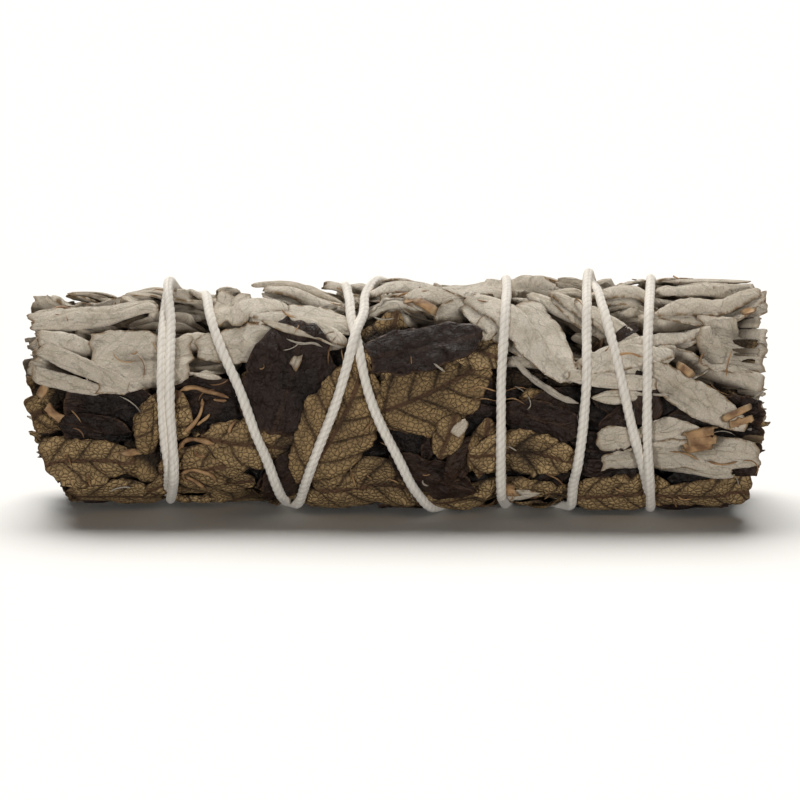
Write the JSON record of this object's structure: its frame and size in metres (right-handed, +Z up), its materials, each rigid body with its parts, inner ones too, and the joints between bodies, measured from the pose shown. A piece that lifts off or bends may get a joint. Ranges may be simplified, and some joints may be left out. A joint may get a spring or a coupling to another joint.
{
  "type": "sage bunch",
  "caption": "Short round bunch of dried sage and darker net-veined herb leaves, laid on its side and bound with a criss-crossed cotton string.",
  "frame": {"origin": "on the surface that the bunch lies on, under its middle", "axes": "+X runs along the bunch towards its right-hand cut end in the picture, -Y is the side that faces the camera, +Z is up"},
  "size_m": [0.1009, 0.037, 0.0333],
  "materials": {
    "sage_leaf": "matt felted grey-green leaf",
    "dark_leaf": "dry brown leaf, net-veined and tan underneath",
    "stem": "cut ends of packed stems and leaves",
    "string": "undyed twisted cotton"
  },
  "bodies": {
    "root": {"binding_string": "string", "dark_leaf_sprig_1": "dark_leaf", "dark_leaf_sprig_2": "dark_leaf", "dark_leaf_sprig_3": "dark_leaf", "dark_leaf_sprig_4": "dark_leaf", "dark_leaf_sprig_5": "dark_leaf", "inner_sprig_1": "stem", "inner_sprig_2": "stem", "inner_sprig_3": "stem", "inner_sprig_4": "stem", "inner_sprig_5": "stem", "inner_sprig_6": "stem", "inner_sprig_7": "stem", "white_sage_sprig_1": "sage_leaf", "white_sage_sprig_2": "sage_leaf", "white_sage_sprig_3": "sage_leaf", "white_sage_sprig_4": "sage_leaf", "white_sage_sprig_5": "sage_leaf", "white_sage_sprig_6": "sage_leaf"}
  },
  "joints": []
}
